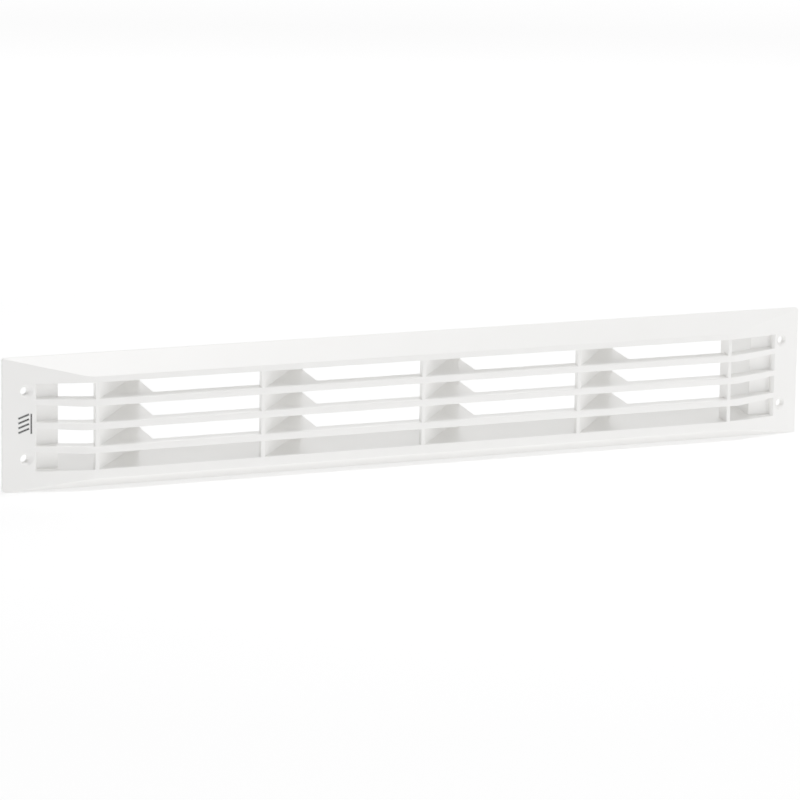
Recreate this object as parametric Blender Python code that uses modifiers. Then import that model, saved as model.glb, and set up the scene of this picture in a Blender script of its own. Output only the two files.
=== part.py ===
"""Louvred air grille: a long white wall grille with fixed blades and angled air deflectors.

World axes: X runs along the grille, +Y goes into the wall, +Z is up.
The wall surface is the plane Y = 0 and the origin is the centre of that plane.
The outlines below are drawn in millimetres; meshes are stored in metres.
"""

import math

import bmesh
import bpy
from mathutils import Matrix, Vector

MM = 0.001
WELD = 1.0e-6

# Overall cover
LENGTH = 412.0
HEIGHT = 62.0
PROJECTION = 11.0
SIDE_EDGE = 1.5
END_EDGE = 1.7
KNEE_X = 166.6
KNEE_RADIUS = 40.0
CREASE_TOP = 21.6
CREASE_BOTTOM = -25.6
CREASE_RADIUS = 0.7
EDGE_RADIUS = 0.5
CORNER_RADIUS = 1.5
COVER_WALL = 2.2

# Aperture in the cover; its ends slope in at 45 degrees to the cavity behind it
APERTURE_X = 191.6
CAVITY_X = 190.5
APERTURE_TOP = 18.95
APERTURE_BOTTOM = -21.5

# Fixing holes for 3.5 mm countersunk screws
HOLE_X = 196.0
HOLE_Z = 15.6
HOLE_RADIUS = 1.9
SINK_RADIUS = 2.9
SINK_REACH = 1.54
HOLE_SEGMENTS = 40

# Blades
BLADE_TOPS = (11.0, 0.1, -10.8)
BLADE_NAMES = ("top", "middle", "bottom")
BLADE_NOSE = 3.3
BLADE_DEPTH = 5.5
BLADE_TOP_SLOPE = math.tan(math.radians(8.0))
BLADE_UNDER_SLOPE = 0.30
NOSE_RADIUS = 0.5

# Dividers and deflectors
DIVIDER_PITCH = 81.75
DIVIDER_WIDTH = 1.8
DIVIDER_FRONT = -10.7
MULLION_DEPTH = 3.0
END_DIVIDER_BACK = -2.5
VANE_THICKNESS = 1.8
VANE_OFFSET = 11.2
VANE_BACK = 11.5
RETURN_END = 29.3
VANE_TOP = 23.8
DIVIDER_TOP = 18.65

# Drip shelves between each deflector and each blade
SHELF_THICKNESS = 2.0

# Drain tray
TRAY_FRONT = -8.5
TRAY_BACK = 17.7
TRAY_FRONT_TOP = -21.4
TRAY_THICKNESS = 1.8
TRAY_SLOPE = math.tan(math.radians(6.5))
TRAY_HALF_WIDTH = 179.0

# Rear frame and wall collar
FRAME_FRONT = -2.0
FRAME_BACK = -0.3
FRAME_TOP = 26.95
FRAME_BOTTOM = -27.7
DUCT_X = 179.3
DUCT_Z = 24.2
COLLAR_WALL = 1.8
COLLAR_DEPTH = 18.0

GAP = 0.3
OVERRUN = 1.0
ROUND_STEPS = 5
KNEE_STEPS = 10

RAMP_SLOPE = (PROJECTION - END_EDGE) / (LENGTH / 2.0 - KNEE_X)
SHELL_OFFSET = COVER_WALL * math.sqrt(1.0 + RAMP_SLOPE ** 2)

# Local drawing plane to world: plan views, sections across the grille, front views
PLAN = Matrix(((1, 0, 0, 0), (0, 1, 0, 0), (0, 0, 1, 0), (0, 0, 0, 1)))
SECTION = Matrix(((0, 0, 1, 0), (1, 0, 0, 0), (0, 1, 0, 0), (0, 0, 0, 1)))
ELEVATION = Matrix(((1, 0, 0, 0), (0, 0, -1, 0), (0, 1, 0, 0), (0, 0, 0, 1)))


def clear_scene():
    for obj in list(bpy.data.objects):
        bpy.data.objects.remove(obj, do_unlink=True)


def new_collection(name):
    collection = bpy.data.collections.new(name)
    bpy.context.scene.collection.children.link(collection)
    return collection


def plastic(name, colour, roughness):
    material = bpy.data.materials.new(name)
    material.use_nodes = True
    shader = material.node_tree.nodes["Principled BSDF"]
    shader.inputs["Base Color"].default_value = (*colour, 1.0)
    shader.inputs["Roughness"].default_value = roughness
    shader.inputs["Metallic"].default_value = 0.0
    material.diffuse_color = (*colour, 1.0)
    return material


def cover_plastic():
    return plastic("cover_white_plastic", (0.86, 0.85, 0.83), 0.32)


def blade_plastic():
    return plastic("blade_white_plastic", (0.84, 0.83, 0.81), 0.34)


def deflector_plastic():
    return plastic("deflector_white_plastic", (0.82, 0.81, 0.79), 0.36)


def shelf_plastic():
    return plastic("shelf_white_plastic", (0.83, 0.82, 0.80), 0.36)


def tray_plastic():
    return plastic("tray_white_plastic", (0.82, 0.81, 0.78), 0.38)


def frame_plastic():
    return plastic("frame_white_plastic", (0.80, 0.79, 0.77), 0.42)


def collar_plastic():
    return plastic("collar_white_plastic", (0.79, 0.78, 0.76), 0.45)


def round_corner(before, corner, after, radius, steps):
    """Points of the arc of one radius that replaces a corner of an outline."""
    corner = Vector(corner)
    into = (Vector(before) - corner).normalized()
    out = (Vector(after) - corner).normalized()
    half_angle = into.angle(out) / 2.0
    reach = radius / math.tan(half_angle)
    start = corner + into * reach
    end = corner + out * reach
    centre = corner + (into + out).normalized() * (radius / math.sin(half_angle))
    first = math.atan2(start.y - centre.y, start.x - centre.x)
    last = math.atan2(end.y - centre.y, end.x - centre.x)
    sweep = (last - first + math.pi) % (2.0 * math.pi) - math.pi
    points = []
    for step in range(steps + 1):
        angle = first + sweep * step / steps
        points.append((centre.x + radius * math.cos(angle), centre.y + radius * math.sin(angle)))
    return points


def rounded(corners):
    """Outline from (x, y, radius, steps) corners; a radius of 0 keeps the corner sharp."""
    outline = []
    for index, (x, y, radius, steps) in enumerate(corners):
        if radius == 0.0:
            outline.append((x, y))
            continue
        before = corners[index - 1][:2]
        after = corners[(index + 1) % len(corners)][:2]
        outline.extend(round_corner(before, (x, y), after, radius, steps))
    return outline


def prism(name, outline, basis, low, high):
    """Closed mesh: a filled 2D curve drawn in one of the three planes and extruded."""
    curve = bpy.data.curves.new(name, "CURVE")
    curve.dimensions = "2D"
    curve.fill_mode = "BOTH"
    curve.extrude = (high - low) / 2.0
    spline = curve.splines.new("POLY")
    spline.points.add(len(outline) - 1)
    for point, (u, v) in zip(spline.points, outline):
        point.co = (u, v, 0.0, 1.0)
    spline.use_cyclic_u = True
    holder = bpy.data.objects.new(name, curve)
    holder.matrix_world = basis @ Matrix.Translation((0.0, 0.0, (low + high) / 2.0))
    bpy.context.scene.collection.objects.link(holder)
    bpy.context.view_layer.update()
    evaluated = holder.evaluated_get(bpy.context.evaluated_depsgraph_get())
    mesh = bpy.data.meshes.new_from_object(evaluated)
    mesh.name = name
    mesh.transform(Matrix.Scale(MM, 4) @ holder.matrix_world)
    bpy.data.objects.remove(holder, do_unlink=True)
    bpy.data.curves.remove(curve)
    shell = bmesh.new()
    shell.from_mesh(mesh)
    bmesh.ops.remove_doubles(shell, verts=shell.verts, dist=WELD)
    bmesh.ops.recalc_face_normals(shell, faces=shell.faces)
    shell.to_mesh(mesh)
    shell.free()
    return mesh


def block(name, x_range, y_range, z_range):
    """Box mesh between the given limits."""
    lows = Vector((x_range[0], y_range[0], z_range[0]))
    highs = Vector((x_range[1], y_range[1], z_range[1]))
    size = highs - lows
    frame = Matrix.Translation((lows + highs) / 2.0) @ Matrix.Diagonal((*size, 1.0))
    shell = bmesh.new()
    bmesh.ops.create_cube(shell, size=1.0, matrix=Matrix.Scale(MM, 4) @ frame)
    mesh = bpy.data.meshes.new(name)
    shell.to_mesh(mesh)
    shell.free()
    return mesh


def place(collection, name, mesh, material, location=(0.0, 0.0, 0.0)):
    obj = bpy.data.objects.new(name, mesh)
    obj.location = Vector(location) * MM
    collection.objects.link(obj)
    if not mesh.materials:
        mesh.materials.append(material)
    return obj


def cutter(collection, name, mesh):
    obj = bpy.data.objects.new(name, mesh)
    obj.display_type = "WIRE"
    obj.hide_render = True
    collection.objects.link(obj)
    return obj


def boolean(obj, operand, operation):
    modifier = obj.modifiers.new(operation.lower() + "_" + operand.name, "BOOLEAN")
    modifier.operation = operation
    modifier.solver = "EXACT"
    modifier.object = operand


def ramp_front(x):
    """Front surface of the cover on its end ramps, as a Y value."""
    return -(END_EDGE + (LENGTH / 2.0 - abs(x)) * RAMP_SLOPE)


def front_path(limit, offset):
    """Corners of the front of the cover in plan, moved back by an offset, left to right."""
    end = ramp_front(limit) + offset * math.sqrt(1.0 + RAMP_SLOPE ** 2)
    knee_y = -PROJECTION + offset
    return [(-limit, end, 0.0, 0), (-KNEE_X, knee_y, KNEE_RADIUS, KNEE_STEPS),
            (KNEE_X, knee_y, KNEE_RADIUS, KNEE_STEPS), (limit, end, 0.0, 0)]


def cover_plan():
    half = LENGTH / 2.0
    return rounded([(-half, OVERRUN, 0.0, 0),
                    (-half, -END_EDGE, EDGE_RADIUS, ROUND_STEPS),
                    (-KNEE_X, -PROJECTION, KNEE_RADIUS, KNEE_STEPS),
                    (KNEE_X, -PROJECTION, KNEE_RADIUS, KNEE_STEPS),
                    (half, -END_EDGE, EDGE_RADIUS, ROUND_STEPS),
                    (half, OVERRUN, 0.0, 0)])


def cover_section():
    half = HEIGHT / 2.0
    return rounded([(OVERRUN, -half, 0.0, 0),
                    (OVERRUN, half, 0.0, 0),
                    (-SIDE_EDGE, half, EDGE_RADIUS, ROUND_STEPS),
                    (-PROJECTION, CREASE_TOP, CREASE_RADIUS, ROUND_STEPS),
                    (-PROJECTION, CREASE_BOTTOM, CREASE_RADIUS, ROUND_STEPS),
                    (-SIDE_EDGE, -half, EDGE_RADIUS, ROUND_STEPS)])


def cover_elevation():
    x = LENGTH / 2.0
    z = HEIGHT / 2.0
    corner = (CORNER_RADIUS, ROUND_STEPS)
    return rounded([(-x, -z, *corner), (x, -z, *corner), (x, z, *corner), (-x, z, *corner)])


def shell_line(edge_z, crease_z, y):
    """Height of the inner face of a sloping side of the cover at one depth."""
    run = PROJECTION - SIDE_EDGE
    rise = abs(edge_z) - abs(crease_z)
    slope = rise / run
    drop = COVER_WALL * math.sqrt(1.0 + slope ** 2)
    height = abs(edge_z) + (y + SIDE_EDGE) * slope - drop
    return math.copysign(height, edge_z)


def cavity_section():
    half = HEIGHT / 2.0
    front = -PROJECTION + COVER_WALL
    return [(OVERRUN, shell_line(-half, CREASE_BOTTOM, 0.0)),
            (OVERRUN, shell_line(half, CREASE_TOP, 0.0)),
            (0.0, shell_line(half, CREASE_TOP, 0.0)),
            (front, shell_line(half, CREASE_TOP, front)),
            (front, shell_line(-half, CREASE_BOTTOM, front)),
            (0.0, shell_line(-half, CREASE_BOTTOM, 0.0))]


def cavity_plan():
    path = front_path(CAVITY_X, COVER_WALL)
    return rounded(path + [(CAVITY_X, OVERRUN, 0.0, 0), (-CAVITY_X, OVERRUN, 0.0, 0)])


def aperture_plan():
    """Opening in plan, with its ends cut at 45 degrees down to the end of the cavity."""
    front = -PROJECTION - OVERRUN
    back = 2.0 * OVERRUN
    mouth = APERTURE_X + ramp_front(APERTURE_X) - front
    slope_back = ramp_front(APERTURE_X) + APERTURE_X - CAVITY_X
    return [(-mouth, front), (mouth, front), (CAVITY_X, slope_back), (CAVITY_X, back),
            (-CAVITY_X, back), (-CAVITY_X, slope_back)]


def countersink(cutters, name, x, z):
    """Turned cutter for one countersunk screw hole; its axis is square to the wall."""
    surface = -ramp_front(x)
    profile = ((0.0, surface + SINK_REACH), (SINK_RADIUS + SINK_REACH, surface + SINK_REACH),
               (HOLE_RADIUS, surface - SINK_RADIUS + HOLE_RADIUS),
               (HOLE_RADIUS, -OVERRUN), (0.0, -OVERRUN))
    mesh = bpy.data.meshes.new(name)
    points = [(radius * MM, 0.0, height * MM) for radius, height in profile]
    mesh.from_pydata(points, [(step, step + 1) for step in range(len(points) - 1)], [])
    tool = cutter(cutters, name, mesh)
    tool.location = Vector((x, 0.0, z)) * MM
    tool.rotation_euler = (math.pi / 2.0, 0.0, 0.0)
    turn = tool.modifiers.new("turn", "SCREW")
    turn.steps = HOLE_SEGMENTS
    turn.render_steps = HOLE_SEGMENTS
    turn.use_merge_vertices = True
    turn.merge_threshold = WELD
    return tool


def build_cover(parts, cutters):
    half_x = LENGTH / 2.0
    half_z = HEIGHT / 2.0
    body = prism("cover_shell", cover_elevation(), ELEVATION, 0.0, PROJECTION + OVERRUN)
    cover = place(parts, "cover_shell", body, cover_plastic())
    plan = prism("cut_cover_plan", cover_plan(), PLAN, -half_z - OVERRUN, half_z + OVERRUN)
    section = prism("cut_cover_section", cover_section(), SECTION,
                    -half_x - OVERRUN, half_x + OVERRUN)
    boolean(cover, cutter(cutters, "cut_cover_plan", plan), "INTERSECT")
    boolean(cover, cutter(cutters, "cut_cover_section", section), "INTERSECT")
    hollow = prism("cut_hollow", cavity_plan(), PLAN, -half_z, half_z)
    hollow_cutter = cutter(cutters, "cut_hollow", hollow)
    across = prism("cut_hollow_section", cavity_section(), SECTION, -half_x, half_x)
    boolean(hollow_cutter, cutter(cutters, "cut_hollow_section", across), "INTERSECT")
    boolean(cover, hollow_cutter, "DIFFERENCE")
    window = prism("cut_aperture", aperture_plan(), PLAN, APERTURE_BOTTOM, APERTURE_TOP)
    boolean(cover, cutter(cutters, "cut_aperture", window), "DIFFERENCE")
    for side_name, side in (("left", -1.0), ("right", 1.0)):
        for level_name, level in (("top", 1.0), ("bottom", -1.0)):
            name = "cut_hole_" + level_name + "_" + side_name
            hole = countersink(cutters, name, side * HOLE_X, level * HOLE_Z)
            boolean(cover, hole, "DIFFERENCE")


def blade_top(level, y):
    return level + BLADE_TOP_SLOPE * (y + PROJECTION)


def blade_under(level, y):
    return level - BLADE_NOSE + BLADE_UNDER_SLOPE * (y + PROJECTION)


def blade_section(level):
    front = -PROJECTION
    back = 0.0
    return rounded([(front, blade_under(level, front), NOSE_RADIUS, ROUND_STEPS),
                    (back, blade_under(level, back), 0.0, 0),
                    (back, blade_top(level, back), 0.0, 0),
                    (front, blade_top(level, front), NOSE_RADIUS, ROUND_STEPS)])


def blade_plan():
    """Blade outline: front and back follow the cover, the ends follow the aperture's ends."""
    limit = APERTURE_X - GAP * math.sqrt(2.0) / (1.0 + RAMP_SLOPE)
    end = CAVITY_X - GAP
    end_front = ramp_front(limit) + limit - end
    back_limit = FRAME_FRONT - GAP
    knee_back = -PROJECTION + BLADE_DEPTH
    flat_x = KNEE_X + (back_limit - knee_back) / RAMP_SLOPE
    back_path = [(end, end_front, 0.0, 0), (end, back_limit, 0.0, 0),
                 (flat_x, back_limit, 0.0, 0), (KNEE_X, knee_back, 0.0, 0),
                 (-KNEE_X, knee_back, 0.0, 0), (-flat_x, back_limit, 0.0, 0),
                 (-end, back_limit, 0.0, 0), (-end, end_front, 0.0, 0)]
    return rounded(front_path(limit, 0.0) + back_path)


def build_blades(parts, cutters):
    half_x = LENGTH / 2.0
    material = blade_plastic()
    for label, level in zip(BLADE_NAMES, BLADE_TOPS):
        name = "louvre_blade_" + label
        low = level - BLADE_NOSE - OVERRUN
        high = blade_top(level, 0.0) + OVERRUN
        blade = place(parts, name, prism(name, blade_plan(), PLAN, low, high), material)
        section = prism("cut_" + name, blade_section(level), SECTION, -half_x, half_x)
        boolean(blade, cutter(cutters, "cut_" + name, section), "INTERSECT")


def tray_top(y):
    return TRAY_FRONT_TOP + TRAY_SLOPE * (y - TRAY_FRONT)


def comb_section():
    """Side outline shared by all dividers, with a notch for each blade."""
    notch_back = -PROJECTION + BLADE_DEPTH + GAP
    back = VANE_BACK + VANE_THICKNESS + OVERRUN
    points = [(back, tray_top(back) + GAP), (TRAY_FRONT, tray_top(TRAY_FRONT) + GAP),
              (DIVIDER_FRONT, tray_top(TRAY_FRONT) + GAP)]
    for level in reversed(BLADE_TOPS):
        points.append((DIVIDER_FRONT, blade_under(level, DIVIDER_FRONT) - GAP))
        points.append((notch_back, blade_under(level, notch_back) - GAP))
        points.append((notch_back, blade_top(level, notch_back) + GAP))
        points.append((DIVIDER_FRONT, blade_top(level, DIVIDER_FRONT) + GAP))
    points += [(DIVIDER_FRONT, DIVIDER_TOP), (notch_back, DIVIDER_TOP),
               (notch_back, VANE_TOP), (back, VANE_TOP)]
    return points


def deflector_plan():
    """Front bar, a vane at 45 degrees and a short return parallel to the cover."""
    half = DIVIDER_WIDTH / 2.0
    bar_back = DIVIDER_FRONT + MULLION_DEPTH
    back_offset = VANE_OFFSET - VANE_THICKNESS * math.sqrt(2.0)
    return_back = VANE_BACK + VANE_THICKNESS
    return [(-half, DIVIDER_FRONT), (half, DIVIDER_FRONT), (half, half - VANE_OFFSET),
            (VANE_BACK + VANE_OFFSET, VANE_BACK), (RETURN_END, VANE_BACK),
            (RETURN_END, return_back), (return_back + back_offset, return_back),
            (bar_back + back_offset, bar_back), (-half, bar_back)]


def end_divider_plan():
    half = DIVIDER_WIDTH / 2.0
    return [(-half, DIVIDER_FRONT), (half, DIVIDER_FRONT),
            (half, END_DIVIDER_BACK), (-half, END_DIVIDER_BACK)]


def divider_x(index):
    return (index - 3) * DIVIDER_PITCH


def build_dividers(parts, cutters):
    half_x = LENGTH / 2.0
    low = APERTURE_BOTTOM - OVERRUN
    high = VANE_TOP + OVERRUN
    comb = cutter(cutters, "cut_comb", prism("cut_comb", comb_section(), SECTION, -half_x, half_x))
    deflector = prism("deflector", deflector_plan(), PLAN, low, high)
    material = deflector_plastic()
    for index in range(1, 5):
        name = "deflector_" + str(index)
        obj = place(parts, name, deflector, material, (divider_x(index), 0.0, 0.0))
        boolean(obj, comb, "INTERSECT")
    plain = prism("end_divider", end_divider_plan(), PLAN, low, high)
    obj = place(parts, "end_divider", plain, material, (divider_x(5), 0.0, 0.0))
    boolean(obj, comb, "INTERSECT")


def shelf_plan():
    """Four-sided shelf in the corner between a deflector and the back of a blade."""
    front = -PROJECTION + BLADE_DEPTH + GAP
    back = VANE_BACK - GAP
    face = VANE_OFFSET + GAP * math.sqrt(2.0)
    return [(front + face, front), (RETURN_END, front), (RETURN_END, back), (back + face, back)]


def shelf_section(level):
    front = -PROJECTION + BLADE_DEPTH
    back = VANE_BACK + OVERRUN
    return [(front, blade_top(level, front) - SHELF_THICKNESS),
            (back, blade_top(level, back) - SHELF_THICKNESS),
            (back, blade_top(level, back)), (front, blade_top(level, front))]


def build_shelves(parts, cutters):
    half_x = LENGTH / 2.0
    material = shelf_plastic()
    for label, level in zip(BLADE_NAMES, BLADE_TOPS):
        name = "cut_shelf_" + label
        section = prism(name, shelf_section(level), SECTION, -half_x, half_x)
        slab = cutter(cutters, name, section)
        low = level - SHELF_THICKNESS - OVERRUN
        high = blade_top(level, VANE_BACK) + OVERRUN
        shelf = prism("shelf_" + label, shelf_plan(), PLAN, low, high)
        for index in range(1, 5):
            shelf_name = "drip_shelf_" + label + "_" + str(index)
            obj = place(parts, shelf_name, shelf, material, (divider_x(index), 0.0, 0.0))
            boolean(obj, slab, "INTERSECT")


def tray_plan():
    """Tray outline: wide behind the cover and narrow where it enters the duct."""
    limit = CAVITY_X - GAP
    step_y = FRAME_FRONT - GAP
    back_path = [(limit, step_y, 0.0, 0), (TRAY_HALF_WIDTH, step_y, 0.0, 0),
                 (TRAY_HALF_WIDTH, TRAY_BACK, 0.0, 0), (-TRAY_HALF_WIDTH, TRAY_BACK, 0.0, 0),
                 (-TRAY_HALF_WIDTH, step_y, 0.0, 0), (-limit, step_y, 0.0, 0)]
    return rounded(front_path(limit, COVER_WALL + GAP) + back_path)


def tray_section():
    front = -PROJECTION
    back = TRAY_BACK + OVERRUN
    return [(front, tray_top(front) - TRAY_THICKNESS), (back, tray_top(back) - TRAY_THICKNESS),
            (back, tray_top(back)), (front, tray_top(front))]


def build_tray(parts, cutters):
    half_x = LENGTH / 2.0
    low = TRAY_FRONT_TOP - TRAY_THICKNESS - OVERRUN
    high = tray_top(TRAY_BACK) + OVERRUN
    tray = place(parts, "drain_tray", prism("drain_tray", tray_plan(), PLAN, low, high),
                 tray_plastic())
    section = prism("cut_tray", tray_section(), SECTION, -half_x, half_x)
    boolean(tray, cutter(cutters, "cut_tray", section), "INTERSECT")


def build_rear_frame(parts, cutters):
    limit = CAVITY_X - GAP
    plate = block("rear_frame", (-limit, limit), (FRAME_FRONT, FRAME_BACK),
                  (FRAME_BOTTOM, FRAME_TOP))
    frame = place(parts, "rear_frame", plate, frame_plastic())
    duct = block("cut_duct", (-DUCT_X, DUCT_X), (FRAME_FRONT - OVERRUN, FRAME_BACK + OVERRUN),
                 (-DUCT_Z, DUCT_Z))
    boolean(frame, cutter(cutters, "cut_duct", duct), "DIFFERENCE")


def build_collar(parts):
    material = collar_plastic()
    outer_x = DUCT_X + COLLAR_WALL
    outer_z = DUCT_Z + COLLAR_WALL
    side_z = DUCT_Z - GAP
    depth = (0.0, COLLAR_DEPTH)
    walls = (("collar_top", (-outer_x, outer_x), (DUCT_Z, outer_z)),
             ("collar_bottom", (-outer_x, outer_x), (-outer_z, -DUCT_Z)),
             ("collar_end_left", (-outer_x, -DUCT_X), (-side_z, side_z)),
             ("collar_end_right", (DUCT_X, outer_x), (-side_z, side_z)))
    for name, x_range, z_range in walls:
        place(parts, name, block(name, x_range, depth, z_range), material)


def main():
    clear_scene()
    parts = new_collection("louvred_air_grille")
    cutters = new_collection("cutters")
    build_cover(parts, cutters)
    build_blades(parts, cutters)
    build_dividers(parts, cutters)
    build_shelves(parts, cutters)
    build_tray(parts, cutters)
    build_rear_frame(parts, cutters)
    build_collar(parts)
    cutters.hide_render = True


main()
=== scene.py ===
"""Looks of the louvred air grille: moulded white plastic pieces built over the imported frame.

World axes: X along the grille, +Y into the wall, +Z up. Outlines are in millimetres.
"""

import math

import bmesh
import bpy
from mathutils import Matrix, Vector


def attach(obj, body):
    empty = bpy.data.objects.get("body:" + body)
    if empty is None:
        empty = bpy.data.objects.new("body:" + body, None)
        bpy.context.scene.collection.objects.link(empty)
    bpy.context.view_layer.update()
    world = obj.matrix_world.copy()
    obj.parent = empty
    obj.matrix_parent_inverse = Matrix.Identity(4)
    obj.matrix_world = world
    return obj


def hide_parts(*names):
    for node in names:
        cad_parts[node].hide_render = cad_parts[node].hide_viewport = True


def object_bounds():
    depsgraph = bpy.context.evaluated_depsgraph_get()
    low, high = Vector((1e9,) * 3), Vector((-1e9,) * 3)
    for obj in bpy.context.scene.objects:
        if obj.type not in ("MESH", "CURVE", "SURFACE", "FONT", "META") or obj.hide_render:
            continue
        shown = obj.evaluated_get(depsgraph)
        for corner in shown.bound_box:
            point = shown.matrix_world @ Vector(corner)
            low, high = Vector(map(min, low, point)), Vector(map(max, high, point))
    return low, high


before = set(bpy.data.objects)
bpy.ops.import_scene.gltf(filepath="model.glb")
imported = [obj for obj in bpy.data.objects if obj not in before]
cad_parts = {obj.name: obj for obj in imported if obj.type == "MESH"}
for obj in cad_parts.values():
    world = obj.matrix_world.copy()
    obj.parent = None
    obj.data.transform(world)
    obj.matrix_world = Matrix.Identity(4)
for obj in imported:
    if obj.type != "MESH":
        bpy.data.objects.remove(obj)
CAD_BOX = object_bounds()

MM = 0.001
WELD = 1.0e-6

# Cover
LENGTH = 412.0
HEIGHT = 62.0
PROJECTION = 11.0
SIDE_EDGE = 1.5
END_EDGE = 1.7
KNEE_X = 166.6
KNEE_RADIUS = 40.0
CREASE_TOP = 21.6
CREASE_BOTTOM = -25.6
CREASE_RADIUS = 0.8
EDGE_RADIUS = 0.6
CORNER_RADIUS = 1.6
COVER_WALL = 2.2
APERTURE_X = 191.6
CAVITY_X = 190.5
APERTURE_TOP = 18.95
APERTURE_BOTTOM = -21.5
HOLE_X = 196.0
HOLE_Z = 15.6
HOLE_RADIUS = 1.9
SINK_RADIUS = 2.9
SINK_REACH = 1.54

# Blades, dividers, shelves and tray
BLADE_TOPS = {"top": 11.0, "middle": 0.1, "bottom": -10.8}
BLADE_NOSE = 3.3
BLADE_DEPTH = 5.5
TOP_SLOPE = math.tan(math.radians(8.0))
UNDER_SLOPE = 0.30
NOSE_RADIUS = 0.6
DIVIDER_PITCH = 81.75
DIVIDER_WIDTH = 1.8
DIVIDER_FRONT = -10.7
MULLION_DEPTH = 3.0
END_DIVIDER_BACK = -2.5
VANE_THICKNESS = 1.8
VANE_OFFSET = 11.2
VANE_BACK = 11.5
RETURN_END = 29.3
VANE_TOP = 24.4
SHELF_THICKNESS = 2.0
TRAY_FRONT = -8.5
TRAY_BACK = 17.7
TRAY_FRONT_TOP = -21.4
TRAY_THICKNESS = 1.8
TRAY_SLOPE = math.tan(math.radians(6.5))
TRAY_HALF_WIDTH = 179.5

# Rear frame and collar
FRAME_FRONT = -2.0
FRAME_TOP = 27.2
FRAME_BOTTOM = -27.9
DUCT_X = 179.3
DUCT_Z = 24.2
COLLAR_WALL = 1.8
COLLAR_DEPTH = 18.0

# Overlaps that join neighbouring pieces, and setbacks that keep faces from coinciding
BITE = 0.35
FRAME_BITE = 0.1
TRAY_BITE = 0.5
LINTEL_BITE = 0.25
COLLAR_BITE = 0.6
SETBACK = 0.02
SHELF_DROP = 0.03
VANE_STEP = -5.2
VANE_BEND = 1.2
OVERRUN = 1.0

# Rounded edges and curve resolution
COVER_BEVEL = 0.32
BLADE_BEVEL = 0.30
DIVIDER_BEVEL = 0.28
SHELF_BEVEL = 0.25
TRAY_BEVEL = 0.30
FRAME_BEVEL = 0.30
COLLAR_BEVEL = 0.40
KNEE_STEPS = 16
ROUND_STEPS = 6
HOLE_STEPS = 64
FLAT_ANGLE = 0.4

# Printed pictogram
STROKE_COUNT = 4
STROKE_START = (-199.3, 4.1)
STROKE_PITCH = 2.2
STROKE_SIZE = (5.4, 1.05)
STROKE_LEAN = 22.0
BAR_PLACE = (-193.7, 0.7)
BAR_SIZE = (0.9, 9.4)
INK_SKIN = 0.05
INK_DARK = (0.0015, 0.0015, 0.0018)
INK_LIGHT = (0.006, 0.006, 0.007)
INK_SPECK_SCALE = 3200.0

# Plastic: noise scales are per metre, depths in metres
CLOUD_SCALE = 46.0
FLOW_STRETCH = (9.0, 90.0, 150.0)
HANDLING_SCALE = 130.0
GRAIN_SCALE = 2600.0
GRAIN_DEPTH = 0.00006
WAVE_SCALE = 260.0
WAVE_DEPTH = 0.00004
SHADE = 0.975
WARMTH = 0.992
PLASTIC_IOR = 1.53

# Studio
FLOOR_REACH = 12.0
FLOOR_DROP = 0.0001
FLOOR_GLOW = 0.25
FLOOR_GLOW_FAR = 0.85
GLOW_NEAR = 0.5
GLOW_END = 2.4
FLOOR_GREY = 0.93
HORIZON_LEVEL = 1.15
SKY_LEVEL = 0.07
HORIZON_BAND = (0.02, 0.16)
SOFT_BOXES = (("overhead_box", (0.0, -0.2, 1.8), 1.4, 1.0, 24.6),
              ("right_fill", (1.5, -0.9, 0.35), 1.0, 0.6, 5.9),
              ("back_fill", (0.6, 1.2, 0.9), 1.2, 0.8, 5.5))
DISPLAY_GAMMA = 2.2

# Camera: angles in degrees, lengths in metres, lens in millimetres
CAMERA_YAW = 24.91
CAMERA_PITCH = 10.74
CAMERA_ROLL = 0.87
CAMERA_TARGET = (-0.00734, 0.0, -0.00141)
CAMERA_DISTANCE = 2.0902
CAMERA_LENS = 199.8

RAMP_SLOPE = (PROJECTION - END_EDGE) / (LENGTH / 2.0 - KNEE_X)

# Local drawing plane to world: plan views, sections across the grille, front views
PLAN = Matrix(((1, 0, 0, 0), (0, 1, 0, 0), (0, 0, 1, 0), (0, 0, 0, 1)))
SECTION = Matrix(((0, 0, 1, 0), (1, 0, 0, 0), (0, 1, 0, 0), (0, 0, 0, 1)))
ELEVATION = Matrix(((1, 0, 0, 0), (0, 0, -1, 0), (0, 1, 0, 0), (0, 0, 0, 1)))


# ---------------------------------------------------------------- outlines

def round_corner(before, corner, after, radius, steps):
    """Points of the arc of one radius that replaces a corner of an outline."""
    corner = Vector(corner)
    into = (Vector(before) - corner).normalized()
    out = (Vector(after) - corner).normalized()
    half_angle = into.angle(out) / 2.0
    reach = radius / math.tan(half_angle)
    start = corner + into * reach
    end = corner + out * reach
    centre = corner + (into + out).normalized() * (radius / math.sin(half_angle))
    first = math.atan2(start.y - centre.y, start.x - centre.x)
    last = math.atan2(end.y - centre.y, end.x - centre.x)
    sweep = (last - first + math.pi) % (2.0 * math.pi) - math.pi
    return [(centre.x + radius * math.cos(first + sweep * step / steps),
             centre.y + radius * math.sin(first + sweep * step / steps))
            for step in range(steps + 1)]


def rounded(corners):
    """Outline from (x, y, radius, steps) corners; a radius of 0 keeps the corner sharp."""
    outline = []
    for index, (x, y, radius, steps) in enumerate(corners):
        if radius == 0.0:
            outline.append((x, y))
            continue
        before = corners[index - 1][:2]
        after = corners[(index + 1) % len(corners)][:2]
        outline.extend(round_corner(before, (x, y), after, radius, steps))
    return outline


def ramp_front(x):
    """Front surface of the cover on its end ramps, as a Y value."""
    return -(END_EDGE + (LENGTH / 2.0 - abs(x)) * RAMP_SLOPE)


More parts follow.
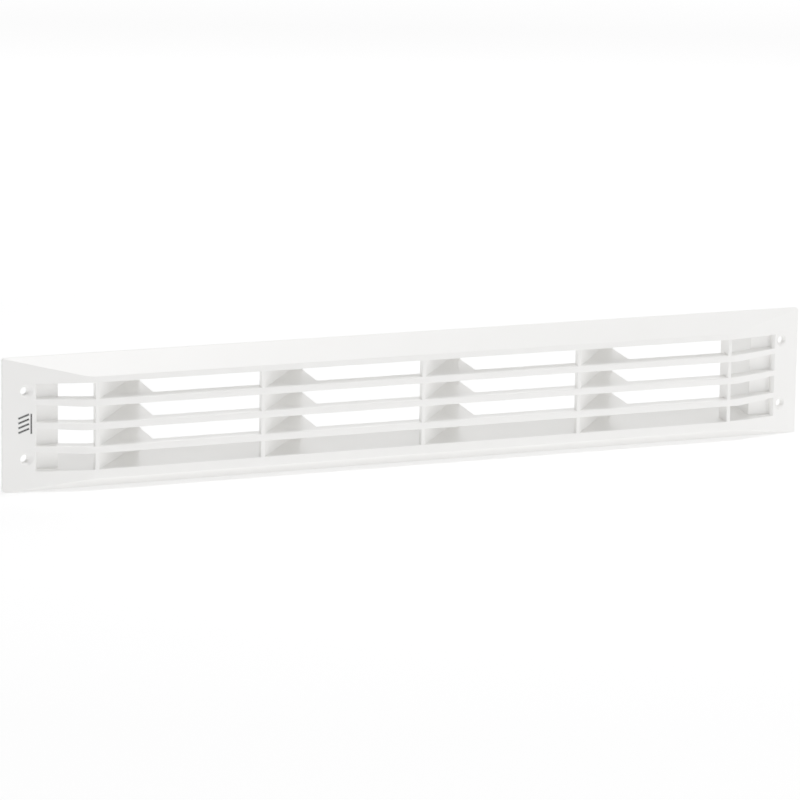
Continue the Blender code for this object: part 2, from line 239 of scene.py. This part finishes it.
def front_path(limit, offset):
    """Corners of the front of the cover in plan, moved back by an offset, left to right."""
    end = ramp_front(limit) + offset * math.sqrt(1.0 + RAMP_SLOPE ** 2)
    knee_y = -PROJECTION + offset
    return [(-limit, end, 0.0, 0), (-KNEE_X, knee_y, KNEE_RADIUS, KNEE_STEPS),
            (KNEE_X, knee_y, KNEE_RADIUS, KNEE_STEPS), (limit, end, 0.0, 0)]


# ---------------------------------------------------------------- solids

def prism(name, outline, basis, low, high):
    """Mesh object: a filled 2D curve drawn in one of the three planes and extruded."""
    curve = bpy.data.curves.new(name, "CURVE")
    curve.dimensions = "2D"
    curve.fill_mode = "BOTH"
    curve.extrude = (high - low) / 2.0
    spline = curve.splines.new("POLY")
    spline.points.add(len(outline) - 1)
    for point, (u, v) in zip(spline.points, outline):
        point.co = (u, v, 0.0, 1.0)
    spline.use_cyclic_u = True
    holder = bpy.data.objects.new(name, curve)
    holder.matrix_world = basis @ Matrix.Translation((0.0, 0.0, (low + high) / 2.0))
    bpy.context.scene.collection.objects.link(holder)
    bpy.context.view_layer.update()
    evaluated = holder.evaluated_get(bpy.context.evaluated_depsgraph_get())
    mesh = bpy.data.meshes.new_from_object(evaluated)
    mesh.transform(Matrix.Scale(MM, 4) @ holder.matrix_world)
    bpy.data.objects.remove(holder, do_unlink=True)
    bpy.data.curves.remove(curve)
    shell = bmesh.new()
    shell.from_mesh(mesh)
    bmesh.ops.remove_doubles(shell, verts=shell.verts, dist=WELD)
    bmesh.ops.recalc_face_normals(shell, faces=shell.faces)
    shell.to_mesh(mesh)
    shell.free()
    mesh.materials.clear()
    solid = bpy.data.objects.new(name, mesh)
    bpy.context.scene.collection.objects.link(solid)
    return solid


def block(name, x_range, y_range, z_range):
    """Box-shaped mesh object between the given limits."""
    lows = Vector((x_range[0], y_range[0], z_range[0]))
    highs = Vector((x_range[1], y_range[1], z_range[1]))
    size = highs - lows
    place = Matrix.Translation((lows + highs) / 2.0) @ Matrix.Diagonal((*size, 1.0))
    shell = bmesh.new()
    bmesh.ops.create_cube(shell, size=1.0, matrix=Matrix.Scale(MM, 4) @ place)
    mesh = bpy.data.meshes.new(name)
    shell.to_mesh(mesh)
    shell.free()
    solid = bpy.data.objects.new(name, mesh)
    bpy.context.scene.collection.objects.link(solid)
    return solid


def turned(name, profile, x, z, steps):
    """Turned solid with its axis square to the wall, from (radius, height) points."""
    mesh = bpy.data.meshes.new(name)
    points = [(radius * MM, 0.0, height * MM) for radius, height in profile]
    mesh.from_pydata(points, [(step, step + 1) for step in range(len(points) - 1)], [])
    tool = bpy.data.objects.new(name, mesh)
    bpy.context.scene.collection.objects.link(tool)
    tool.location = Vector((x, 0.0, z)) * MM
    tool.rotation_euler = (math.pi / 2.0, 0.0, 0.0)
    turn = tool.modifiers.new("turn", "SCREW")
    turn.steps = steps
    turn.render_steps = steps
    turn.use_merge_vertices = True
    turn.merge_threshold = WELD
    return tool


def carve(solid, steps):
    """Applies Booleans given as (operation, tool) and removes the tools."""
    for operation, tool in steps:
        modifier = solid.modifiers.new(operation, "BOOLEAN")
        modifier.operation = operation
        modifier.solver = "EXACT"
        modifier.object = tool
    bpy.context.view_layer.update()
    evaluated = solid.evaluated_get(bpy.context.evaluated_depsgraph_get())
    mesh = bpy.data.meshes.new_from_object(evaluated)
    solid.modifiers.clear()
    old = solid.data
    solid.data = mesh
    bpy.data.meshes.remove(old)
    for _, tool in steps:
        bpy.data.objects.remove(tool, do_unlink=True)
    return solid


def soften(solid, width, segments=3, angle=28.0):
    """Merges flat areas into single faces, then rounds every crisp edge."""
    shell = bmesh.new()
    shell.from_mesh(solid.data)
    bmesh.ops.remove_doubles(shell, verts=shell.verts, dist=WELD)
    bmesh.ops.dissolve_limit(shell, angle_limit=math.radians(FLAT_ANGLE),
                             use_dissolve_boundaries=False, verts=shell.verts,
                             edges=shell.edges, delimit={"NORMAL"})
    shell.to_mesh(solid.data)
    shell.free()
    solid.data.shade_smooth()
    bevel = solid.modifiers.new("soft_edges", "BEVEL")
    bevel.width = width * MM
    bevel.segments = segments
    bevel.limit_method = "ANGLE"
    bevel.angle_limit = math.radians(angle)
    bevel.use_clamp_overlap = True
    bevel.harden_normals = True
    bevel.miter_outer = "MITER_ARC"


# ---------------------------------------------------------------- materials

def add(tree, kind, **values):
    """New shader node with the given settings."""
    node = tree.nodes.new(kind)
    for key, value in values.items():
        setattr(node, key, value)
    return node


def noise(tree, source, scale, detail, rough=0.5):
    """Noise value at the source position."""
    node = add(tree, "ShaderNodeTexNoise")
    node.inputs["Scale"].default_value = scale
    node.inputs["Detail"].default_value = detail
    node.inputs["Roughness"].default_value = rough
    tree.links.new(source, node.inputs["Vector"])
    return node.outputs["Fac"]


def remap(tree, source, low, high, start=0.3, stop=0.7):
    """Source value stretched from start..stop to low..high."""
    node = add(tree, "ShaderNodeMapRange")
    node.inputs["From Min"].default_value = start
    node.inputs["From Max"].default_value = stop
    node.inputs["To Min"].default_value = low
    node.inputs["To Max"].default_value = high
    tree.links.new(source, node.inputs["Value"])
    return node.outputs["Result"]


def moulded_plastic(name, colour, gloss, grain, flow, waviness=0.12):
    """White moulded plastic: faint cloudiness and flow streaks, fine surface grain, soft gloss."""
    material = bpy.data.materials.new(name)
    material.use_nodes = True
    tree = material.node_tree
    shader = tree.nodes["Principled BSDF"]
    place = add(tree, "ShaderNodeTexCoord").outputs["Object"]

    cloud = noise(tree, place, CLOUD_SCALE, 3.0)
    stretch = add(tree, "ShaderNodeMapping")
    stretch.inputs["Scale"].default_value = FLOW_STRETCH
    tree.links.new(place, stretch.inputs["Vector"])
    streak = noise(tree, stretch.outputs["Vector"], 1.0, 4.0, 0.6)
    blend = add(tree, "ShaderNodeMath", operation="MULTIPLY_ADD")
    tree.links.new(streak, blend.inputs[0])
    blend.inputs[1].default_value = flow
    tree.links.new(cloud, blend.inputs[2])
    ramp = add(tree, "ShaderNodeValToRGB")
    ramp.color_ramp.elements[0].position = 0.25
    ramp.color_ramp.elements[1].position = 0.95
    dark = [channel * SHADE for channel in colour]
    ramp.color_ramp.elements[0].color = (dark[0], dark[1], dark[2] * WARMTH, 1.0)
    ramp.color_ramp.elements[1].color = (*colour, 1.0)
    tree.links.new(blend.outputs["Value"], ramp.inputs["Fac"])
    tree.links.new(ramp.outputs["Color"], shader.inputs["Base Color"])

    handling = noise(tree, place, HANDLING_SCALE, 5.0, 0.62)
    tree.links.new(remap(tree, handling, gloss - 0.02, gloss + 0.03), shader.inputs["Roughness"])

    fine = noise(tree, place, GRAIN_SCALE, 3.0, 0.55)
    wave = noise(tree, place, WAVE_SCALE, 2.0, 0.45)
    grain_bump = add(tree, "ShaderNodeBump")
    grain_bump.inputs["Strength"].default_value = grain
    grain_bump.inputs["Distance"].default_value = GRAIN_DEPTH
    tree.links.new(fine, grain_bump.inputs["Height"])
    wave_bump = add(tree, "ShaderNodeBump")
    wave_bump.inputs["Strength"].default_value = waviness
    wave_bump.inputs["Distance"].default_value = WAVE_DEPTH
    tree.links.new(wave, wave_bump.inputs["Height"])
    tree.links.new(grain_bump.outputs["Normal"], wave_bump.inputs["Normal"])
    tree.links.new(wave_bump.outputs["Normal"], shader.inputs["Normal"])
    shader.inputs["IOR"].default_value = PLASTIC_IOR
    return material


def printing_ink():
    """Dark pad-printed ink with a fine speckle in colour and gloss."""
    material = bpy.data.materials.new("dark_pad_print")
    material.use_nodes = True
    tree = material.node_tree
    shader = tree.nodes["Principled BSDF"]
    place = add(tree, "ShaderNodeTexCoord").outputs["Object"]
    speck = noise(tree, place, INK_SPECK_SCALE, 3.0, 0.6)
    ramp = add(tree, "ShaderNodeValToRGB")
    ramp.color_ramp.elements[0].position = 0.30
    ramp.color_ramp.elements[1].position = 0.72
    ramp.color_ramp.elements[0].color = (*INK_DARK, 1.0)
    ramp.color_ramp.elements[1].color = (*INK_LIGHT, 1.0)
    tree.links.new(speck, ramp.inputs["Fac"])
    tree.links.new(ramp.outputs["Color"], shader.inputs["Base Color"])
    tree.links.new(remap(tree, speck, 0.42, 0.58), shader.inputs["Roughness"])
    return material


WHITE = (0.880, 0.871, 0.849)
INNER_WHITE = (0.871, 0.862, 0.838)
MATERIALS = {
    "cover": moulded_plastic("cover_white", WHITE, 0.30, 0.22, 0.22),
    "blade": moulded_plastic("blade_white", WHITE, 0.30, 0.20, 0.30),
    "deflector": moulded_plastic("deflector_white", INNER_WHITE, 0.31, 0.20, 0.26),
    "shelf": moulded_plastic("shelf_white", INNER_WHITE, 0.33, 0.10, 0.14, 0.05),
    "tray": moulded_plastic("tray_white", (0.871, 0.862, 0.836), 0.36, 0.05, 0.10, 0.02),
    "frame": moulded_plastic("frame_white", (0.865, 0.856, 0.834), 0.34, 0.28, 0.24),
    "collar": moulded_plastic("collar_white", (0.862, 0.854, 0.832), 0.36, 0.32, 0.24),
}


def finish_piece(solid, slot, *nodes):
    """Gives a piece its material and lets it stand for its CAD nodes."""
    solid.data.materials.clear()
    solid.data.materials.append(MATERIALS[slot])
    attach(solid, "root")
    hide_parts(*nodes)


# ---------------------------------------------------------------- cover

def shell_line(edge_z, crease_z, y):
    """Height of the inner face of a sloping side of the cover at one depth."""
    slope = (abs(edge_z) - abs(crease_z)) / (PROJECTION - SIDE_EDGE)
    drop = COVER_WALL * math.sqrt(1.0 + slope ** 2)
    return math.copysign(abs(edge_z) + (y + SIDE_EDGE) * slope - drop, edge_z)


def cover_outer():
    """Outside of the cover: three outlines drawn in plan, section and front view, intersected."""
    half_x = LENGTH / 2.0
    half_z = HEIGHT / 2.0
    corner = (CORNER_RADIUS, ROUND_STEPS)
    outline = rounded([(-half_x, -half_z, *corner), (half_x, -half_z, *corner),
                       (half_x, half_z, *corner), (-half_x, half_z, *corner)])
    plan = rounded([(-half_x, OVERRUN, 0.0, 0),
                    (-half_x, -END_EDGE, EDGE_RADIUS, ROUND_STEPS),
                    (-KNEE_X, -PROJECTION, KNEE_RADIUS, KNEE_STEPS),
                    (KNEE_X, -PROJECTION, KNEE_RADIUS, KNEE_STEPS),
                    (half_x, -END_EDGE, EDGE_RADIUS, ROUND_STEPS),
                    (half_x, OVERRUN, 0.0, 0)])
    section = rounded([(OVERRUN, -half_z, 0.0, 0), (OVERRUN, half_z, 0.0, 0),
                       (-SIDE_EDGE, half_z, EDGE_RADIUS, ROUND_STEPS),
                       (-PROJECTION, CREASE_TOP, CREASE_RADIUS, ROUND_STEPS),
                       (-PROJECTION, CREASE_BOTTOM, CREASE_RADIUS, ROUND_STEPS),
                       (-SIDE_EDGE, -half_z, EDGE_RADIUS, ROUND_STEPS)])
    body = prism("cover", outline, ELEVATION, 0.0, PROJECTION + OVERRUN)
    reach_x = half_x + OVERRUN
    reach_z = half_z + OVERRUN
    return carve(body, [("INTERSECT", prism("plan", plan, PLAN, -reach_z, reach_z)),
                        ("INTERSECT", prism("section", section, SECTION, -reach_x, reach_x))])


def cover_hollow():
    """Space behind the cover, one wall thickness inside it."""
    half_z = HEIGHT / 2.0
    front = -PROJECTION + COVER_WALL
    path = front_path(CAVITY_X, COVER_WALL)
    plan = rounded(path + [(CAVITY_X, OVERRUN, 0.0, 0), (-CAVITY_X, OVERRUN, 0.0, 0)])
    section = [(OVERRUN, shell_line(-half_z, CREASE_BOTTOM, 0.0)),
               (OVERRUN, shell_line(half_z, CREASE_TOP, 0.0)),
               (0.0, shell_line(half_z, CREASE_TOP, 0.0)),
               (front, shell_line(half_z, CREASE_TOP, front)),
               (front, shell_line(-half_z, CREASE_BOTTOM, front)),
               (0.0, shell_line(-half_z, CREASE_BOTTOM, 0.0))]
    body = prism("hollow", plan, PLAN, -half_z, half_z)
    return carve(body, [("INTERSECT", prism("across", section, SECTION, -LENGTH, LENGTH))])


def aperture_plan():
    """Opening in plan, with its ends cut at 45 degrees down to the end of the cavity."""
    front = -PROJECTION - OVERRUN
    back = 2.0 * OVERRUN
    mouth = APERTURE_X + ramp_front(APERTURE_X) - front
    slope_back = ramp_front(APERTURE_X) + APERTURE_X - CAVITY_X
    return [(-mouth, front), (mouth, front), (CAVITY_X, slope_back), (CAVITY_X, back),
            (-CAVITY_X, back), (-CAVITY_X, slope_back)]


def make_cover():
    """Cover with its cavity, the louvre aperture and four countersunk holes."""
    steps = [("DIFFERENCE", cover_hollow()),
             ("DIFFERENCE", prism("aperture", aperture_plan(), PLAN,
                                  APERTURE_BOTTOM, APERTURE_TOP))]
    for side in (-1.0, 1.0):
        for level in (-1.0, 1.0):
            surface = -ramp_front(side * HOLE_X)
            profile = ((0.0, surface + SINK_REACH),
                       (SINK_RADIUS + SINK_REACH, surface + SINK_REACH),
                       (HOLE_RADIUS, surface - SINK_RADIUS + HOLE_RADIUS),
                       (HOLE_RADIUS, -OVERRUN), (0.0, -OVERRUN))
            hole = turned("hole", profile, side * HOLE_X, level * HOLE_Z, HOLE_STEPS)
            steps.append(("DIFFERENCE", hole))
    cover = carve(cover_outer(), steps)
    cover.name = "front_cover"
    soften(cover, COVER_BEVEL)
    finish_piece(cover, "cover", "cover_shell")


# ---------------------------------------------------------------- blades, dividers, shelves

def blade_top(level, y):
    """Height of a blade's upper face at one depth."""
    return level + TOP_SLOPE * (y + PROJECTION)


def blade_under(level, y):
    """Height of a blade's lower face at one depth."""
    return level - BLADE_NOSE + UNDER_SLOPE * (y + PROJECTION)


def make_blades():
    """Three blades whose fronts follow the cover from end to end."""
    limit = APERTURE_X + BITE
    end = CAVITY_X + BITE
    end_front = ramp_front(limit) + limit - end
    back_limit = FRAME_FRONT + FRAME_BITE
    knee_back = -PROJECTION + BLADE_DEPTH
    flat_x = KNEE_X + (back_limit - knee_back) / RAMP_SLOPE
    back_path = [(end, end_front, 0.0, 0), (end, back_limit, 0.0, 0),
                 (flat_x, back_limit, 0.0, 0), (KNEE_X, knee_back, KNEE_RADIUS, KNEE_STEPS),
                 (-KNEE_X, knee_back, KNEE_RADIUS, KNEE_STEPS),
                 (-flat_x, back_limit, 0.0, 0), (-end, back_limit, 0.0, 0),
                 (-end, end_front, 0.0, 0)]
    plan = rounded(front_path(limit, SETBACK) + back_path)
    for label, level in BLADE_TOPS.items():
        section = rounded([
            (-PROJECTION, blade_under(level, -PROJECTION), NOSE_RADIUS, ROUND_STEPS),
            (0.0, blade_under(level, 0.0), 0.0, 0),
            (0.0, blade_top(level, 0.0), 0.0, 0),
            (-PROJECTION, blade_top(level, -PROJECTION), NOSE_RADIUS, ROUND_STEPS)])
        blade = prism("blade_" + label, plan, PLAN, level - BLADE_NOSE - OVERRUN,
                      blade_top(level, 0.0) + OVERRUN)
        carve(blade, [("INTERSECT", prism("across", section, SECTION, -LENGTH, LENGTH))])
        soften(blade, BLADE_BEVEL)
        finish_piece(blade, "blade", "louvre_blade_" + label)


def tray_top(y):
    """Height of the tray's floor at one depth."""
    return TRAY_FRONT_TOP + TRAY_SLOPE * (y - TRAY_FRONT)


def divider_x(index):
    """Middle of a divider, counted 1 to 5 from the left."""
    return (index - 3) * DIVIDER_PITCH


def divider_section():
    """Side outline of a divider: it stands in the tray and rises behind the cover."""
    back = VANE_BACK + VANE_THICKNESS + OVERRUN
    front_low = tray_top(TRAY_FRONT) - TRAY_BITE
    front_high = APERTURE_TOP + LINTEL_BITE
    return [(back, tray_top(back) - TRAY_BITE), (TRAY_FRONT, front_low),
            (DIVIDER_FRONT, front_low), (DIVIDER_FRONT, front_high),
            (VANE_STEP, front_high), (VANE_STEP, VANE_TOP), (back, VANE_TOP)]


def make_dividers():
    """Four dividers with a vane bent back to a short return, and the plain one at the right."""
    half = DIVIDER_WIDTH / 2.0
    bar_back = DIVIDER_FRONT + MULLION_DEPTH
    back_offset = VANE_OFFSET - VANE_THICKNESS * math.sqrt(2.0)
    return_back = VANE_BACK + VANE_THICKNESS
    outer_bend = VANE_BEND + VANE_THICKNESS
    vane = [(-half, DIVIDER_FRONT, 0.0, 0), (half, DIVIDER_FRONT, 0.0, 0),
            (half, half - VANE_OFFSET, 0.0, 0),
            (VANE_BACK + VANE_OFFSET, VANE_BACK, VANE_BEND, ROUND_STEPS),
            (RETURN_END, VANE_BACK, 0.0, 0), (RETURN_END, return_back, 0.0, 0),
            (return_back + back_offset, return_back, outer_bend, ROUND_STEPS),
            (bar_back + back_offset, bar_back, 0.0, 0), (-half, bar_back, 0.0, 0)]
    plain = [(-half, DIVIDER_FRONT), (half, DIVIDER_FRONT),
             (half, END_DIVIDER_BACK), (-half, END_DIVIDER_BACK)]
    for index in range(1, 6):
        last = index == 5
        outline = plain if last else rounded(vane)
        shifted = [(x + divider_x(index), y) for x, y in outline]
        name = "divider_end" if last else "divider_vane_" + str(index)
        body = prism(name, shifted, PLAN, APERTURE_BOTTOM - 2.0 * OVERRUN, VANE_TOP + OVERRUN)
        carve(body, [("INTERSECT", prism("across", divider_section(), SECTION, -LENGTH, LENGTH))])
        soften(body, DIVIDER_BEVEL)
        node = "end_divider" if last else "deflector_" + str(index)
        finish_piece(body, "deflector", node)


def make_shelves():
    """Sloped shelf in each corner between a vane and the back of a blade."""
    front = -PROJECTION + BLADE_DEPTH - BITE
    back = VANE_BACK + BITE
    face = VANE_OFFSET - BITE * math.sqrt(2.0)
    edge = RETURN_END - SETBACK
    for label, level in BLADE_TOPS.items():
        y_far = back + OVERRUN
        y_near = front - OVERRUN
        section = [(y_near, blade_top(level, y_near) - SHELF_THICKNESS),
                   (y_far, blade_top(level, y_far) - SHELF_THICKNESS),
                   (y_far, blade_top(level, y_far) - SHELF_DROP),
                   (y_near, blade_top(level, y_near) - SHELF_DROP)]
        for index in range(1, 5):
            centre = divider_x(index)
            plan = [(front + face + centre, front), (edge + centre, front),
                    (edge + centre, back), (back + face + centre, back)]
            low = level - SHELF_THICKNESS - 2.0 * OVERRUN
            high = blade_top(level, back) + OVERRUN
            shelf = prism("shelf_" + label + "_" + str(index), plan, PLAN, low, high)
            carve(shelf, [("INTERSECT", prism("across", section, SECTION, -LENGTH, LENGTH))])
            soften(shelf, SHELF_BEVEL)
            finish_piece(shelf, "shelf", "drip_shelf_" + label + "_" + str(index))


# ---------------------------------------------------------------- tray, frame, collar

def make_tray():
    """Drain tray: wide behind the cover and narrow where it enters the duct."""
    limit = CAVITY_X + BITE
    step_y = FRAME_FRONT + FRAME_BITE
    back_path = [(limit, step_y, 0.0, 0), (TRAY_HALF_WIDTH, step_y, 0.0, 0),
                 (TRAY_HALF_WIDTH, TRAY_BACK, 0.0, 0), (-TRAY_HALF_WIDTH, TRAY_BACK, 0.0, 0),
                 (-TRAY_HALF_WIDTH, step_y, 0.0, 0), (-limit, step_y, 0.0, 0)]
    plan = rounded(front_path(limit, COVER_WALL - BITE) + back_path)
    far = TRAY_BACK + OVERRUN
    section = [(-PROJECTION, tray_top(-PROJECTION) - TRAY_THICKNESS),
               (far, tray_top(far) - TRAY_THICKNESS), (far, tray_top(far)),
               (-PROJECTION, tray_top(-PROJECTION))]
    low = TRAY_FRONT_TOP - 2.0 * TRAY_THICKNESS
    tray = prism("tray", plan, PLAN, low, tray_top(far) + OVERRUN)
    carve(tray, [("INTERSECT", prism("across", section, SECTION, -LENGTH, LENGTH))])
    soften(tray, TRAY_BEVEL)
    finish_piece(tray, "tray", "drain_tray")


def make_rear_frame():
    """Plate behind the cover that closes the slot ends and carries the collar."""
    limit = CAVITY_X + BITE
    plate = block("rear_plate", (-limit, limit), (FRAME_FRONT, 0.0), (FRAME_BOTTOM, FRAME_TOP))
    duct = block("duct", (-DUCT_X, DUCT_X), (FRAME_FRONT - OVERRUN, OVERRUN), (-DUCT_Z, DUCT_Z))
    carve(plate, [("DIFFERENCE", duct)])
    soften(plate, FRAME_BEVEL)
    finish_piece(plate, "frame", "rear_frame")


def make_collar():
    """Four walls of the collar that goes into the wall cut-out."""
    outer_x = DUCT_X + COLLAR_WALL
    outer_z = DUCT_Z + COLLAR_WALL
    depth = (-COLLAR_BITE, COLLAR_DEPTH)
    side_depth = (-COLLAR_BITE, COLLAR_DEPTH - SETBACK)
    side_z = DUCT_Z + COLLAR_BITE
    walls = (("collar_top", (-outer_x, outer_x), depth, (DUCT_Z, outer_z)),
             ("collar_bottom", (-outer_x, outer_x), depth, (-outer_z, -DUCT_Z)),
             ("collar_end_left", (SETBACK - outer_x, -DUCT_X), side_depth, (-side_z, side_z)),
             ("collar_end_right", (DUCT_X, outer_x - SETBACK), side_depth, (-side_z, side_z)))
    for node, x_range, y_range, z_range in walls:
        wall = block(node + "_wall", x_range, y_range, z_range)
        soften(wall, COLLAR_BEVEL)
        finish_piece(wall, "collar", node)


# ---------------------------------------------------------------- print

def make_mark():
    """Plain louvre pictogram printed on the left ramp: slanted strokes beside an upright bar."""
    start_x, start_z = STROKE_START
    strokes = []
    for row in range(STROKE_COUNT):
        level = start_z - STROKE_PITCH * row
        strokes.append((start_x, level, *STROKE_SIZE, math.radians(STROKE_LEAN)))
    strokes.append((*BAR_PLACE, *BAR_SIZE, 0.0))
    tilt = math.atan(RAMP_SLOPE)
    shell = bmesh.new()
    for x, z, width, height, lean in strokes:
        place = (Matrix.Translation((x + width / 2.0, ramp_front(x + width / 2.0), z))
                 @ Matrix.Rotation(-tilt, 4, "Z") @ Matrix.Rotation(-lean, 4, "Y")
                 @ Matrix.Diagonal((width, INK_SKIN, height, 1.0)))
        bmesh.ops.create_cube(shell, size=1.0, matrix=Matrix.Scale(MM, 4) @ place)
    mesh = bpy.data.meshes.new("louvre_pictogram")
    shell.to_mesh(mesh)
    shell.free()
    mark = bpy.data.objects.new("louvre_pictogram", mesh)
    bpy.context.scene.collection.objects.link(mark)
    mesh.materials.append(printing_ink())
    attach(mark, "root")


# ---------------------------------------------------------------- stage, light, camera

def make_stage():
    """Pale floor whose faint glow rises with distance, so the backdrop stays white."""
    low = CAD_BOX[0][2]
    shell = bmesh.new()
    bmesh.ops.create_grid(shell, x_segments=1, y_segments=1, size=FLOOR_REACH)
    mesh = bpy.data.meshes.new("floor")
    shell.to_mesh(mesh)
    shell.free()
    floor = bpy.data.objects.new("floor", mesh)
    floor.location = (0.0, 0.0, low - FLOOR_DROP)
    bpy.context.scene.collection.objects.link(floor)
    material = bpy.data.materials.new("pale_floor")
    material.use_nodes = True
    shader = material.node_tree.nodes["Principled BSDF"]
    shader.inputs["Base Color"].default_value = (FLOOR_GREY, FLOOR_GREY, FLOOR_GREY, 1.0)
    shader.inputs["Roughness"].default_value = 0.9
    shader.inputs["Specular IOR Level"].default_value = 0.1
    shader.inputs["Emission Color"].default_value = (1.0, 1.0, 1.0, 1.0)
    tree = material.node_tree
    reach = add(tree, "ShaderNodeVectorMath", operation="LENGTH")
    tree.links.new(add(tree, "ShaderNodeTexCoord").outputs["Object"], reach.inputs[0])
    glow = remap(tree, reach.outputs["Value"], FLOOR_GLOW, FLOOR_GLOW_FAR, GLOW_NEAR, GLOW_END)
    tree.links.new(glow, shader.inputs["Emission Strength"])
    mesh.materials.append(material)


def soft_box(name, place, width, height, power):
    """Rectangular lamp aimed at the middle of the grille."""
    lamp = bpy.data.lights.new(name, "AREA")
    lamp.shape = "RECTANGLE"
    lamp.size = width
    lamp.size_y = height
    lamp.energy = power
    holder = bpy.data.objects.new(name, lamp)
    holder.location = place
    holder.rotation_euler = (-Vector(place)).to_track_quat("-Z", "Y").to_euler()
    bpy.context.scene.collection.objects.link(holder)


def make_light():
    """Dim world with a bright band at the horizon, and the soft boxes."""
    world = bpy.data.worlds.new("studio")
    bpy.context.scene.world = world
    world.use_nodes = True
    tree = world.node_tree
    background = tree.nodes["Background"]
    sky = add(tree, "ShaderNodeTexCoord").outputs["Generated"]
    split = add(tree, "ShaderNodeSeparateXYZ")
    tree.links.new(sky, split.inputs["Vector"])
    lift = remap(tree, split.outputs["Z"], HORIZON_LEVEL, SKY_LEVEL, *HORIZON_BAND)
    tree.links.new(lift, background.inputs["Strength"])
    background.inputs["Color"].default_value = (1.0, 1.0, 1.0, 1.0)
    for name, place, width, height, power in SOFT_BOXES:
        soft_box(name, place, width, height, power)


def make_camera():
    """Long-lens camera to the left of the grille and a little above it."""
    yaw = math.radians(CAMERA_YAW)
    pitch = math.radians(CAMERA_PITCH)
    roll = math.radians(CAMERA_ROLL)
    target = Vector(CAMERA_TARGET)
    forward = Vector((math.sin(yaw) * math.cos(pitch), math.cos(yaw) * math.cos(pitch),
                      -math.sin(pitch)))
    data = bpy.data.cameras.new("camera")
    data.sensor_width = 36.0
    data.lens = CAMERA_LENS
    data.clip_start = 0.05
    camera = bpy.data.objects.new("camera", data)
    turn = forward.to_track_quat("-Z", "Y").to_matrix().to_4x4() @ Matrix.Rotation(roll, 4, "Z")
    camera.matrix_world = Matrix.Translation(target - forward * CAMERA_DISTANCE) @ turn
    bpy.context.scene.collection.objects.link(camera)
    bpy.context.scene.camera = camera


make_cover()
make_blades()
make_dividers()
make_shelves()
make_tray()
make_rear_frame()
make_collar()
make_mark()
make_stage()
make_light()
make_camera()
bpy.context.scene.view_settings.view_transform = "Standard"
bpy.context.scene.view_settings.gamma = DISPLAY_GAMMA
